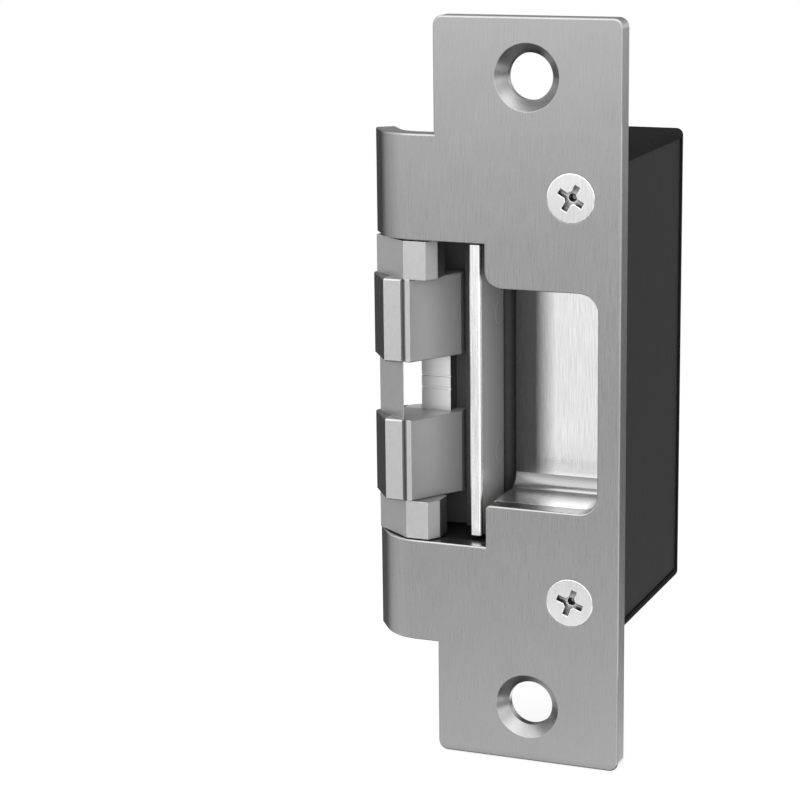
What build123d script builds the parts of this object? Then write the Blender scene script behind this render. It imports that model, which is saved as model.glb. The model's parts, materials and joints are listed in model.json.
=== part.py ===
from build123d import *
import os
from math import cos, radians, sin, tan

# Electric door strike for a steel or aluminium door frame.
# Millimetres. +X is right and -Y is out of the frame when the faceplate is looked at, +Z is up.
# The origin is on the faceplate's front face, midway between its two mounting holes.

# Faceplate: a standard 4-7/8 x 1-1/4 inch strike plate with a 3-3/8 inch lip
PLATE_WIDTH = 31.75
PLATE_HEIGHT = 123.825
PLATE_T = 3.2
PLATE_CORNER_R = 1.6
PLATE_EDGE_R = 0.3
LIP_HEIGHT = 85.725
LIP_BEND_START_X = -19.8
LIP_BEND_R = 8.0
LIP_BEND_DEG = 55.0
LIP_TAIL = 4.0
MOUNT_SPACING = 104.775
MOUNT_HOLE_R = 3.8
MOUNT_SINK_R = 5.45
SINK_HALF_ANGLE = 41.0

# Fits between a hole and what sits in it
PRESS_GAP = 0.02
SLIDE_GAP = 0.05
THREAD_RUNOUT = 0.5

# Cross recess of the screws, as shares of the head's radius, and its draft in degrees
CROSS_SPAN = 1.15
CROSS_WIDTH = 0.26
CROSS_DEPTH = 0.55
CROSS_TAPER = 8.0

# Rounding of a cap screw's head, as a share of its height
CAP_ROUNDING = 0.4

# How far a cutting shape reaches past the face that it cuts
CUT_PAST = 1.0

# Openings in the faceplate
OPENING_TOP = 25.4
POCKET_LEFT = -7.3
POCKET_RIGHT = 12.0
POCKET_TOP = 18.2
POCKET_CORNER_R = 3.2
UPPER_NOSE_R = 3.0
LOWER_NOSE_R = 1.0

# Screws that hold the faceplate to the case, number 8
BODY_SCREW_X = 7.4
BODY_SCREW_Z = 33.5
BODY_SCREW_R = 2.08
BODY_SCREW_HEAD_R = 4.0
BODY_SCREW_LENGTH = 12.0
BODY_SCREW_TURNS = (30.0, 20.0)

# Case
CASE_HALF_WIDTH = 14.7
CASE_FRONT = PLATE_T
CASE_BACK = 39.7
CASE_TOP = 40.4
CASE_BOTTOM = -39.4
CASE_WALL = 1.5
CASE_EDGE_R = 1.2
INNER_X = CASE_HALF_WIDTH - CASE_WALL
INNER_BACK = CASE_BACK - CASE_WALL
INNER_TOP = CASE_TOP - CASE_WALL
INNER_BOTTOM = CASE_BOTTOM + CASE_WALL
FLANGE_BACK = CASE_FRONT + CASE_WALL
WINDOW_BACK = 27.5
BOSS_R = 3.6
BOSS_BACK = 14.5

# Cheeks beside the case that close the gap behind the lip
CHEEK_LEFT = -20.5
CHEEK_FRONT = 4.7
CHEEK_BACK = 16.0
CHEEK_IN = 25.5
CHEEK_OUT = 28.5

# Cross walls that carry the keeper's hinge pin
CROSS_WALL_IN = OPENING_TOP + 0.1
CROSS_WALL_T = 3.0
CROSS_WALL_OUT = CROSS_WALL_IN + CROSS_WALL_T
CROSS_WALL_BACK = 15.5
HINGE_LUG_RIGHT = -6.0
HINGE_LUG_BACK = 24.8
CUP_LEDGE_LEFT = 2.0
CUP_LEDGE_IN = 20.3
CUP_LEDGE_BACK = 10.0

# Side cover, let into the case's right side
COVER_GAP = 0.2
COVER_INSET = 0.35
COVER_LUG_LEFT = 8.5
COVER_LUG_FRONT = 34.8
COVER_LUG_ZS = (-30.0, 25.5)
COVER_LUG_HALF = 3.0
COVER_SCREW_LENGTH = 4.4
SMALL_SCREW_R = 1.25
SMALL_HEAD_R = 2.3
SMALL_HEAD_T = 1.3

# Latch pocket cup
CUP_T = 0.9
CUP_FLOOR = 14.0
CUP_LEFT = -6.8
CUP_FLOOR_R = 2.4
CUP_EAR_TOP = 24.6

# Keeper and its hinge
PIVOT_X = -10.5
PIVOT_Y = 20.0
PIN_R = 2.0
PIN_HALF = 29.8
PIN_CHAMFER = 0.3
BUSH_R = 2.8
BUSH_FLANGE_R = 3.9
BUSH_LENGTH = 7.0
BUSH_FLANGE_T = 0.6
CLIP_T = 0.7
CLIP_R = 2.65
CLIP_GAP = 0.1
CLIP_MOUTH_HALF = 0.9
HUB_R = 4.2
HUB_HALF = 24.6
KEEPER_HALF = 25.2
KNUCKLE_IN = 4.9
KNUCKLE_OUT = 18.8
POST_LEFT = -21.9
POST_RIGHT = -16.7
POST_FRONT = 9.0
POST_BACK = 12.6
POST_GROOVE_ZS = (-1.1, 1.0)
POST_GROOVE = 0.17
HUB_STEP = 0.8
SPRING_BAY_HALF = 4.4
SPRING_BAY_R = 4.7
SHIELD_INNER_R = 3.55
TAB_HALF_WIDTH = 1.7
TAB_REACH = 9.0
TAB_LOW = 10.0
TAB_HIGH = 18.0
TAB_CHAMFER = 0.6

# Broken edges of the keeper's face
FACE_CHAMFER = 0.2

# Screws from behind that hold the keeper's face on its carrier
FACE_SCREW_X = -18.0
FACE_SCREW_ZS = (-11.85, 11.85)
FACE_SCREW_SEAT = 14.9
FACE_SCREW_TIP = 8.4
FACE_SCREW_R = 1.2
FACE_SCREW_HEAD_R = 2.1
FACE_SCREW_HEAD_T = 1.5

# Latch bearing plate, riveted to the keeper's carrier
BEARING_LEFT = -11.3
BEARING_RIGHT = -9.2
BEARING_FRONT = 3.5
BEARING_BACK = 14.5
BEARING_HALF = 24.6
BEARING_EDGE_R = 0.5
BEARING_RIVET_Y = 12.4
BEARING_RIVET_ZS = (-21.5, -11.8, 11.8, 21.5)
BEARING_RIVET_LENGTH = 4.6
BEARING_RIVET_R = 1.0
BEARING_HEAD_R = 1.9

# Keeper return spring, wound round the hinge pin
TORSION_WIRE_R = 0.45
TORSION_COIL_R = 2.75
TORSION_TURNS = 5.0
TORSION_PITCH = 1.1
KEEPER_LEG_DEG = 129.0
KEEPER_LEG_LENGTH = 9.0
CASE_LEG_DEG = 165.0
SPRING_LUG_FRONT = 28.4
SPRING_LUG_BACK = 30.4
SPRING_LUG_RIGHT = -9.4
SPRING_LUG_HALF = 1.6
SPRING_HOLE_GAP = 0.25
SPRING_KNEE = 0.6
SPRING_LEG_END = 0.8

# Solenoid
SOLENOID_X = 3.5
SOLENOID_Y = 24.2
FRAME_HALF_WIDTH = 9.0
FRAME_HALF_DEPTH = 6.0
FRAME_TOP = -9.0
FRAME_T = 1.5
BOBBIN_R = 7.3
BOBBIN_FLANGE_T = 1.0
BOBBIN_TUBE_R = 4.2
BOBBIN_BORE_R = 3.3
COIL_R = 6.85
WRAP_R = 7.15
CORE_R = 3.2
CORE_TOP = -25.0
SOLENOID_SCREW_OFFSET = 5.4

# Plunger, its return spring and the link to the lock lever
PLUNGER_R = 3.0
PLUNGER_BOTTOM = -22.5
PLUNGER_TOP = 2.6
PLUNGER_CHAMFER = 0.4
CLEVIS_SLOT = 2.8
CLEVIS_FLOOR = -3.0
COLLAR_TOP = -4.0
COLLAR_T = 0.8
COLLAR_R = 4.5
RETURN_WIRE_R = 0.22
RETURN_COIL_R = 3.62
RETURN_TURNS = 4.0
LINK_PIN_R = 0.8
LINK_PIN_HALF = 3.3
LINK_CLEARANCE = 0.2
LINK_SLOT_EXTRA = 0.7

# Lock lever
LEVER_Y = 34.5
LEVER_Z = 0.0
LEVER_PIN_R = 1.5
LEVER_HUB_R = 3.0
LEVER_LEFT = -8.3
LEVER_NOSE_RIGHT = -5.5
LEVER_RIGHT = 4.9
LEVER_ARM_HALF_T = 1.15
LEVER_ARM_HALF_HEIGHT = 1.9
LEVER_FRONT = 29.4
LEVER_NOSE_TOP = 19.0
LEVER_NOSE_LOW = 9.0
LEVER_GAP = 0.4

# Circuit board, its parts and the plug-in connector in the rear wall
BOARD_FRONT = 33.0
BOARD_T = 1.6
BOARD_HALF_WIDTH = 12.0
BOARD_LOW = 21.5
BOARD_HIGH = 38.3
BOARD_POSTS = ((-9.5, 24.5), (9.5, 35.8))
POST_R = 2.3
BOARD_SCREW_GRIP = 3.2
HEADER_HALF_WIDTH = 6.5
HEADER_LOW = 29.0
HEADER_HIGH = 36.5
HEADER_WALL = 0.8
HEADER_GAP = 0.3
HEADER_FLOOR_T = 2.0
KEYWAY_HALF_WIDTH = 1.6
CONTACT_SHORT = 0.8
CONTACT_COUNT = 4
CONTACT_PITCH = 2.54
CONTACT_R = 0.4

# Stop pad, with a small gap to the keeper's tab
STOP_PAD_FACE = -12.5
STOP_PAD_FRONT = 27.7
STOP_PAD_BACK = 31.7
STOP_PAD_OVER = 1.0

# Parts on the circuit board
RELAY_LEFT = -10.5
RELAY_RIGHT = -1.0
RELAY_HEIGHT = 6.0
RELAY_LOW = 28.5
RELAY_HIGH = 37.5
RELAY_EDGE_R = 0.5
CAPACITOR_X = 5.0
CAPACITOR_Z = 28.0
CAPACITOR_R = 3.0
CAPACITOR_HEIGHT = 7.0
CAPACITOR_EDGE_R = 0.4

# The coil's two wires: where each leaves the bobbin and where it meets the board
LEAD_XS = ((1.4, -0.6), (5.6, 7.4))
LEAD_Y = 30.85
LEAD_R = 0.45
LEAD_LOW_BEND = 5.0
LEAD_HIGH_BEND = 15.0
LEAD_END_Z = 23.2
LEAD_BEND_RS = (12.0, 12.0, 1.6)


def front_prism(face, y_front, y_back):
    """A face drawn in X and Z, as a solid from y_front to y_back."""
    return extrude(Plane.XZ.offset(-y_back) * face, y_back - y_front)


def plan_prism(face, z_low, z_high):
    """A face drawn in X and Y, as a solid from z_low to z_high."""
    return extrude(Plane.XY.offset(z_low) * face, z_high - z_low)


def side_prism(face, x_left, x_right):
    """A face drawn in Y and Z, as a solid from x_left to x_right."""
    return extrude(Plane.YZ.offset(x_left) * face, x_right - x_left)


def block(x_left, x_right, y_front, y_back, z_low, z_high):
    """A box between two corners."""
    size = (x_right - x_left, y_back - y_front, z_high - z_low)
    centre = Pos((x_left + x_right) / 2, (y_front + y_back) / 2, (z_low + z_high) / 2)
    return centre * Box(*size)


def rod_x(x_left, x_right, y, z, radius):
    return side_prism(Pos(y, z) * Circle(radius), x_left, x_right)


def rod_y(y_front, y_back, x, z, radius):
    return front_prism(Pos(x, z) * Circle(radius), y_front, y_back)


def rod_z(z_low, z_high, x, y, radius):
    return plan_prism(Pos(x, y) * Circle(radius), z_low, z_high)


def polygon(*points):
    return Polygon(*points, align=None)


def sink_depth(head_r, shank_r):
    """The depth of a countersink between two radii."""
    return (head_r - shank_r) / tan(radians(SINK_HALF_ANGLE))


def sink(head_r, shank_r):
    """A countersink cut along -Z, with its mouth at the origin."""
    depth = sink_depth(head_r, shank_r)
    return Pos(0, 0, -depth / 2) * Cone(shank_r, head_r, depth)


def screw(head_r, shank_r, head_t, length, sunk=True):
    """A screw that stands along +Z, with the top of its head at the origin."""
    if sunk:
        depth = sink_depth(head_r, shank_r)
        head = Pos(0, 0, -depth / 2) * Cone(shank_r, head_r, depth)
    else:
        depth = head_t
        head = Pos(0, 0, -depth / 2) * Cylinder(head_r, depth)
        head = fillet(head.edges().group_by(Axis.Z)[-1], depth * CAP_ROUNDING)
    shank = Pos(0, 0, -(depth + length) / 2) * Cylinder(shank_r, length - depth)
    return head + shank - cross_recess(head_r, CROSS_DEPTH * head_r)


def cross_recess(head_r, depth):
    """A cross-head recess below the origin: four wings that narrow towards a point."""
    wing = Rectangle(CROSS_SPAN * head_r, CROSS_WIDTH * head_r)
    outline = wing + Rot(0, 0, 90) * wing + Circle(CROSS_WIDTH * head_r)
    wings = extrude(outline, depth / 2, dir=(0, 0, -1), taper=CROSS_TAPER)
    point = Cone(CROSS_WIDTH * head_r / 3, CROSS_WIDTH * head_r, depth)
    return wings + Pos(0, 0, -depth / 2) * point


def faceplate():
    """The flat plate, its bent lip and all its openings."""
    flat = front_prism(RectangleRounded(PLATE_WIDTH, PLATE_HEIGHT, PLATE_CORNER_R), 0, PLATE_T)
    plate = flat + lip()
    plate = plate - plate_opening()
    plate = fillet(plate.edges().filter_by(lies_in_front), PLATE_EDGE_R)
    for side in (-1, 1):
        plate -= plate_screw_hole(0, side * MOUNT_SPACING / 2, MOUNT_SINK_R, MOUNT_HOLE_R)
        plate -= plate_screw_hole(BODY_SCREW_X, side * BODY_SCREW_Z,
                                  BODY_SCREW_HEAD_R + SLIDE_GAP, BODY_SCREW_R + SLIDE_GAP)
    return plate


def lies_in_front(edge):
    """Whether an edge lies in the faceplate's flat front face."""
    box = edge.bounding_box()
    level = abs(box.min.Y) < SLIDE_GAP and abs(box.max.Y) < SLIDE_GAP
    return level and box.max.X > LIP_BEND_START_X + SLIDE_GAP


def plate_screw_hole(x, z, sink_r, hole_r):
    """A countersunk hole through the faceplate."""
    hole = rod_y(-CUT_PAST, PLATE_T + CUT_PAST, x, z, hole_r)
    return hole + Pos(x, 0, z) * Rot(90, 0, 0) * sink(sink_r, hole_r)


def lip():
    """The lip: flat beside the plate, then bent back so that the latch slides over it."""
    bend = radians(LIP_BEND_DEG)
    centre = Vector(LIP_BEND_START_X, LIP_BEND_R)

    def on_bend(radius, angle):
        return centre + Vector(-radius * sin(angle), -radius * cos(angle))

    inner_r = LIP_BEND_R - PLATE_T
    tail = Vector(-cos(bend), sin(bend)) * LIP_TAIL
    root_front = Vector(-PLATE_WIDTH / 2 + PLATE_CORNER_R + 1, 0)
    root_back = root_front + Vector(0, PLATE_T)
    outline = [
        Line(root_front, on_bend(LIP_BEND_R, 0)),
        ThreePointArc(on_bend(LIP_BEND_R, 0), on_bend(LIP_BEND_R, bend / 2), on_bend(LIP_BEND_R, bend)),
        Line(on_bend(LIP_BEND_R, bend), on_bend(LIP_BEND_R, bend) + tail),
        Line(on_bend(LIP_BEND_R, bend) + tail, on_bend(inner_r, bend) + tail),
        Line(on_bend(inner_r, bend) + tail, on_bend(inner_r, bend)),
        ThreePointArc(on_bend(inner_r, bend), on_bend(inner_r, bend / 2), on_bend(inner_r, 0)),
        Line(on_bend(inner_r, 0), root_back),
        Line(root_back, root_front),
    ]
    return plan_prism(make_face(outline), -LIP_HEIGHT / 2, LIP_HEIGHT / 2)


def plate_opening():
    """One opening: wide for the keeper on the left, lower for the latch pocket on the right."""
    keeper_gap = block(-2 * PLATE_WIDTH, POCKET_LEFT, -CUT_PAST, CASE_BACK, -OPENING_TOP, OPENING_TOP)
    pocket = Pos((POCKET_LEFT + POCKET_RIGHT) / 2, 0) * Rectangle(POCKET_RIGHT - POCKET_LEFT, 2 * POCKET_TOP)
    right_corners = pocket.vertices().group_by(Axis.X)[-1]
    pocket = fillet(right_corners, POCKET_CORNER_R)
    opening = keeper_gap + front_prism(pocket, -CUT_PAST, PLATE_T + CUT_PAST)
    for side, radius in ((1, UPPER_NOSE_R), (-1, LOWER_NOSE_R)):
        centre = Pos(POCKET_LEFT + radius, side * (POCKET_TOP + radius))
        corner = Pos(POCKET_LEFT + radius / 2, side * (POCKET_TOP + radius / 2)) * Rectangle(radius, radius)
        opening += front_prism(corner - centre * Circle(radius), -CUT_PAST, PLATE_T + CUT_PAST)
    return opening


def body_screws():
    """The two flat-head screws that hold the faceplate on the case."""
    one = Rot(90, 0, 0) * screw(BODY_SCREW_HEAD_R, BODY_SCREW_R, 0, BODY_SCREW_LENGTH)
    upper, lower = BODY_SCREW_TURNS
    return [
        Pos(BODY_SCREW_X, 0, BODY_SCREW_Z) * Rot(0, upper, 0) * one,
        Pos(BODY_SCREW_X, 0, -BODY_SCREW_Z) * Rot(0, lower, 0) * one,
    ]


def case_body():
    """The case: five walls, with the right side open for the cover."""
    shell = block(-CASE_HALF_WIDTH, CASE_HALF_WIDTH, CASE_FRONT, CASE_BACK, CASE_BOTTOM, CASE_TOP)
    front_edges = shell.edges().group_by(Axis.Y)[0]
    shell = fillet(shell.edges() - front_edges, CASE_EDGE_R)
    shell -= block(-INNER_X, CASE_HALF_WIDTH + CUT_PAST, FLANGE_BACK, INNER_BACK, INNER_BOTTOM, INNER_TOP)
    shell -= block(-INNER_X, INNER_X, 0, FLANGE_BACK + CUT_PAST, -CROSS_WALL_IN, CROSS_WALL_IN)
    shell -= block(-2 * CASE_HALF_WIDTH, 0, 0, WINDOW_BACK, -OPENING_TOP, OPENING_TOP)
    for side in (-1, 1):
        shell += hinge_wall(side)
        shell += cheek(side)
        shell += rod_y(CASE_FRONT, BOSS_BACK, BODY_SCREW_X, side * BODY_SCREW_Z, BOSS_R)
    shell += lever_boss()
    shell += spring_lug()
    for x, z in BOARD_POSTS:
        shell += rod_y(BOARD_FRONT + BOARD_T, INNER_BACK, x, z, POST_R)
    return shell - case_holes()


def hinge_wall(side):
    """A cross wall above or below the keeper, with the lug for its pin and a ledge for the cup."""
    low, high = sorted((side * CROSS_WALL_IN, side * CROSS_WALL_OUT))
    wall = block(-INNER_X, INNER_X, CASE_FRONT, CROSS_WALL_BACK, low, high)
    wall += block(-INNER_X, HINGE_LUG_RIGHT, CASE_FRONT, HINGE_LUG_BACK, low, high)
    low, high = sorted((side * CUP_LEDGE_IN, side * CROSS_WALL_IN))
    wall += block(CUP_LEDGE_LEFT, INNER_X, CASE_FRONT + CUP_T, CUP_LEDGE_BACK, low, high)
    return wall


def cheek(side):
    """A block on the left wall, above or below the keeper, that closes the gap behind the lip."""
    low, high = sorted((side * CHEEK_IN, side * CHEEK_OUT))
    return block(CHEEK_LEFT, -INNER_X, CHEEK_FRONT, CHEEK_BACK, low, high)


def lever_boss():
    """The boss on the left wall that holds the lock lever's pin."""
    return rod_x(-INNER_X, LEVER_LEFT - LEVER_GAP, LEVER_Y, LEVER_Z, LEVER_HUB_R)


def spring_lug():
    """The lug on the left wall that holds the fixed leg of the keeper's spring."""
    low = case_leg_z() - SPRING_LUG_HALF
    high = case_leg_z() + SPRING_LUG_HALF
    return block(-INNER_X, SPRING_LUG_RIGHT, SPRING_LUG_FRONT, SPRING_LUG_BACK, low, high)


def case_holes():
    """The round holes in the case, and the cutout for the connector."""
    pin_end = CROSS_WALL_OUT + CUT_PAST
    holes = [rod_z(-pin_end, pin_end, PIVOT_X, PIVOT_Y, PIN_R + PRESS_GAP)]
    for side in (-1, 1):
        holes.append(rod_y(0, BODY_SCREW_LENGTH + THREAD_RUNOUT, BODY_SCREW_X, side * BODY_SCREW_Z,
                           BODY_SCREW_R + PRESS_GAP))
    holes.append(rod_x(-INNER_X, LEVER_LEFT, LEVER_Y, LEVER_Z, LEVER_PIN_R + PRESS_GAP))
    holes.append(rod_y(SPRING_LUG_FRONT - CUT_PAST, SPRING_LUG_BACK + CUT_PAST, *case_leg_end(),
                       TORSION_WIRE_R + SPRING_HOLE_GAP))
    for x, z in BOARD_POSTS:
        holes.append(rod_y(BOARD_FRONT, BOARD_FRONT + BOARD_T + BOARD_SCREW_GRIP + PRESS_GAP, x, z,
                           SMALL_SCREW_R + PRESS_GAP))
    for z in COVER_LUG_ZS:
        holes.append(Pos(cover_screw_x(), CASE_BACK, z) * Rot(-90, 0, 0) * sink_hole(CASE_WALL))
    for x in solenoid_screw_xs():
        holes.append(Pos(x, SOLENOID_Y, CASE_BOTTOM) * Rot(180, 0, 0) * sink_hole(CASE_WALL))
    half_width = HEADER_HALF_WIDTH + HEADER_GAP
    holes.append(block(-half_width, half_width, INNER_BACK - CUT_PAST, CASE_BACK + CUT_PAST,
                       HEADER_LOW - HEADER_GAP, HEADER_HIGH + HEADER_GAP))
    return Compound(children=holes)


def sink_hole(depth):
    """A countersunk hole for a small screw, open upwards at the origin."""
    hole = Pos(0, 0, -depth) * Cylinder(SMALL_SCREW_R + PRESS_GAP, 2 * (depth + CUT_PAST))
    return hole + sink(SMALL_HEAD_R + SLIDE_GAP, SMALL_SCREW_R + SLIDE_GAP)


def cover_screw_x():
    return (COVER_LUG_LEFT + INNER_X) / 2


def side_cover():
    """The plate that closes the case's right side, with two lugs for its screws."""
    cover = block(INNER_X, CASE_HALF_WIDTH - COVER_INSET, FLANGE_BACK + COVER_GAP, INNER_BACK - COVER_GAP,
                  INNER_BOTTOM + COVER_GAP, INNER_TOP - COVER_GAP)
    cover += rod_x(LEVER_RIGHT + LEVER_GAP, INNER_X, LEVER_Y, LEVER_Z, LEVER_HUB_R)
    cover -= rod_x(LEVER_RIGHT, INNER_X, LEVER_Y, LEVER_Z, LEVER_PIN_R + PRESS_GAP)
    for z in COVER_LUG_ZS:
        lug = block(COVER_LUG_LEFT, INNER_X, COVER_LUG_FRONT, INNER_BACK - SLIDE_GAP,
                    z - COVER_LUG_HALF, z + COVER_LUG_HALF)
        cover += lug - rod_y(CASE_BACK - COVER_SCREW_LENGTH - SLIDE_GAP, CASE_BACK, cover_screw_x(), z,
                             SMALL_SCREW_R + PRESS_GAP)
    return cover


def cover_screws():
    """The two screws through the rear wall into the cover's lugs."""
    one = Rot(-90, 0, 0) * screw(SMALL_HEAD_R, SMALL_SCREW_R, 0, COVER_SCREW_LENGTH)
    return [Pos(cover_screw_x(), CASE_BACK, z) * one for z in COVER_LUG_ZS]


def latch_pocket_cup():
    """A drawn metal cup behind the pocket, open at the front and towards the keeper."""
    outer = cup_block(0, CUP_FLOOR + CUP_T)
    inner = cup_block(CUP_T, CUP_FLOOR)
    cup = outer - inner
    for side in (-1, 1):
        low, high = sorted((side * (POCKET_TOP + CUP_T / 2), side * CUP_EAR_TOP))
        cup += block(CUP_LEDGE_LEFT + CUP_T, POCKET_RIGHT, CASE_FRONT, CASE_FRONT + CUP_T - SLIDE_GAP,
                     low, high)
    return cup


def cup_block(inset, floor):
    """The cup's outer or inner shape: rounded at the right corners and round its floor."""
    right = POCKET_RIGHT + CUP_T - inset
    top = POCKET_TOP + CUP_T - inset
    left = CUP_LEFT - (CUP_FLOOR if inset else 0)
    front = PLATE_T - (CUT_PAST if inset else 0)
    shape = Pos((left + right) / 2, 0) * Rectangle(right - left, 2 * top)
    shape = fillet(shape.vertices().group_by(Axis.X)[-1], POCKET_CORNER_R + CUP_T - inset)
    solid = front_prism(shape, front, floor)
    floor_edges = solid.edges().group_by(Axis.Y)[-1]
    left_edge = floor_edges.sort_by(Axis.X)[0]
    return fillet(floor_edges - [left_edge], CUP_FLOOR_R + CUP_T - inset)


def keeper_carrier():
    """The black carrier: a rear web, the hinge hub and the tab that the lock lever blocks."""
    body = plan_prism(rear_web_outline(), -KEEPER_HALF, KEEPER_HALF)
    for side in (-1, 1):
        low, high = sorted((side * HUB_HALF, side * (KEEPER_HALF + CUT_PAST)))
        body -= block(PIVOT_X - 2 * HUB_R, 0, PIVOT_Y - HUB_R - HUB_STEP, 2 * PIVOT_Y, low, high)
    body += rod_z(-HUB_HALF, HUB_HALF, PIVOT_X, PIVOT_Y, HUB_R)
    body -= rod_z(-SPRING_BAY_HALF, SPRING_BAY_HALF, PIVOT_X, PIVOT_Y, SPRING_BAY_R)
    return body + spring_shield() + lock_tab() - carrier_bores()


def spring_shield():
    """The part of the hub's wall that stays in front of the return spring."""
    wall = rod_z(-SPRING_BAY_HALF, SPRING_BAY_HALF, PIVOT_X, PIVOT_Y, HUB_R)
    wall -= rod_z(-SPRING_BAY_HALF, SPRING_BAY_HALF, PIVOT_X, PIVOT_Y, SHIELD_INNER_R)
    return wall & block(PIVOT_X - PIN_R / 2, 0, 0, PIVOT_Y + PIN_R, -SPRING_BAY_HALF, SPRING_BAY_HALF)


def keeper_face():
    """The bright face: two ramped knuckles, two end blocks, a slanted bar and a post."""
    body = middle_post() + plan_prism(nose_bar_outline(), -KNUCKLE_IN, KNUCKLE_IN)
    for side in (-1, 1):
        low, high = sorted((side * KNUCKLE_IN, side * KNUCKLE_OUT))
        knuckle = plan_prism(knuckle_outline(), low, high)
        body += chamfer(knuckle.edges().filter_by(breaks_edge), FACE_CHAMFER)
        low, high = sorted((side * KNUCKLE_OUT, side * KEEPER_HALF))
        body += plan_prism(end_outline(), low, high)
    body -= plan_prism(rear_web_outline(), -KEEPER_HALF - CUT_PAST, KEEPER_HALF + CUT_PAST)
    for z in FACE_SCREW_ZS:
        body -= rod_y(FACE_SCREW_TIP - THREAD_RUNOUT, PIVOT_Y, FACE_SCREW_X, z, FACE_SCREW_R + PRESS_GAP)
    return body


def breaks_edge(edge):
    """Whether an edge is a long one round the front of a knuckle's upper or lower face."""
    level = edge.bounding_box().size.Z < PRESS_GAP
    return level and edge.length > 10 * FACE_CHAMFER and edge.center().Y < POST_FRONT - 2 * FACE_CHAMFER


def keeper_face_screws():
    """The two cap screws through the carrier's web into the knuckles."""
    length = FACE_SCREW_SEAT + FACE_SCREW_HEAD_T - FACE_SCREW_TIP
    one = Rot(-90, 0, 0) * screw(FACE_SCREW_HEAD_R, FACE_SCREW_R, FACE_SCREW_HEAD_T, length, sunk=False)
    return [Pos(FACE_SCREW_X, FACE_SCREW_SEAT + FACE_SCREW_HEAD_T, z) * one for z in FACE_SCREW_ZS]


def rear_web_outline():
    """The carrier's web, from behind the knuckles to the hinge hub."""
    return polygon((-22.0, 11.0), (-14.6, 12.2), (-14.6, 10.6), (BEARING_LEFT, 10.6),
                   (BEARING_LEFT, 17.0), (-14.6, 19.6), (-22.0, 13.6))


def knuckle_outline():
    """A knuckle: blunt tip, flat front with a fine groove, then a long ramp down to the latch."""
    return polygon((-29.0, 5.8), (-24.95, 0.0), (-22.0, 0.0), (-21.6, 0.8), (-21.2, 0.1), (-20.4, 0.1),
                   (-14.8, 9.2), (-14.8, 12.4), (-21.9, 13.5), (-27.6, 8.6))


def end_outline():
    """An end block: slanted face, narrow flat front, a short ramp and a step down to the web."""
    return polygon((-28.3, 5.5), (-21.5, 0.3), (-17.6, 0.3), (-16.3, 2.4), (-16.3, 5.7), (-18.8, 8.0),
                   (-18.8, 12.4), (-21.9, 13.5), (-27.0, 8.6))


def nose_bar_outline():
    """The slanted bar that joins the knuckles in front of the open slot."""
    return polygon((-27.9, 5.2), (-21.8, 0.6), (-22.6, 2.6), (-27.0, 7.1))


def middle_post():
    """The post between the knuckles, with two fine grooves across its front."""
    post = block(POST_LEFT, POST_RIGHT, POST_FRONT, POST_BACK, -KNUCKLE_IN, KNUCKLE_IN)
    for z in POST_GROOVE_ZS:
        post -= block(POST_LEFT - CUT_PAST, POST_RIGHT + CUT_PAST, POST_FRONT - CUT_PAST,
                      POST_FRONT + POST_GROOVE, z - POST_GROOVE, z + POST_GROOVE)
    return post


def lock_tab():
    """The tab at the rear of the hub that the lock lever's nose blocks."""
    outline = polygon((PIVOT_X - TAB_HALF_WIDTH, PIVOT_Y),
                      (PIVOT_X + TAB_HALF_WIDTH, PIVOT_Y),
                      (PIVOT_X + TAB_HALF_WIDTH, PIVOT_Y + TAB_REACH - TAB_CHAMFER),
                      (PIVOT_X + TAB_HALF_WIDTH - TAB_CHAMFER, PIVOT_Y + TAB_REACH),
                      (PIVOT_X - TAB_HALF_WIDTH + TAB_CHAMFER, PIVOT_Y + TAB_REACH),
                      (PIVOT_X - TAB_HALF_WIDTH, PIVOT_Y + TAB_REACH - TAB_CHAMFER))
    return plan_prism(outline, TAB_LOW, TAB_HIGH)


def carrier_bores():
    """The pin bore, the two bush seats, the rivet holes of the bearing plate and the face's screw holes."""
    bores = rod_z(-KEEPER_HALF - CUT_PAST, KEEPER_HALF + CUT_PAST, PIVOT_X, PIVOT_Y, PIN_R + 4 * SLIDE_GAP)
    for side in (-1, 1):
        low, high = sorted((side * (HUB_HALF - BUSH_LENGTH), side * (HUB_HALF + CUT_PAST)))
        bores += rod_z(low, high, PIVOT_X, PIVOT_Y, BUSH_R)
    for z in BEARING_RIVET_ZS:
        tip = BEARING_RIGHT - BEARING_RIVET_LENGTH - THREAD_RUNOUT
        bores += rod_x(tip, BEARING_LEFT + CUT_PAST, BEARING_RIVET_Y, z, BEARING_RIVET_R + PRESS_GAP)
    for z in FACE_SCREW_ZS:
        bores += rod_y(FACE_SCREW_TIP, PIVOT_Y, FACE_SCREW_X, z, FACE_SCREW_R + SLIDE_GAP)
        bores += rod_y(FACE_SCREW_SEAT, PIVOT_Y, FACE_SCREW_X, z, FACE_SCREW_HEAD_R + 4 * SLIDE_GAP)
    return bores


def latch_bearing_plate():
    """The hard steel plate that the latch bears on, with a rounded front edge."""
    plate = block(BEARING_LEFT, BEARING_RIGHT, BEARING_FRONT, BEARING_BACK, -BEARING_HALF, BEARING_HALF)
    plate = fillet(plate.edges().filter_by(Axis.Z).group_by(Axis.Y)[0], BEARING_EDGE_R)
    for z in BEARING_RIVET_ZS:
        plate -= rod_x(BEARING_LEFT - CUT_PAST, BEARING_RIGHT + CUT_PAST, BEARING_RIVET_Y, z,
                       BEARING_RIVET_R + PRESS_GAP)
        plate -= Pos(BEARING_RIGHT, BEARING_RIVET_Y, z) * Rot(0, 90, 0) * sink(
            BEARING_HEAD_R + PRESS_GAP, BEARING_RIVET_R + PRESS_GAP)
    return plate


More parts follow.
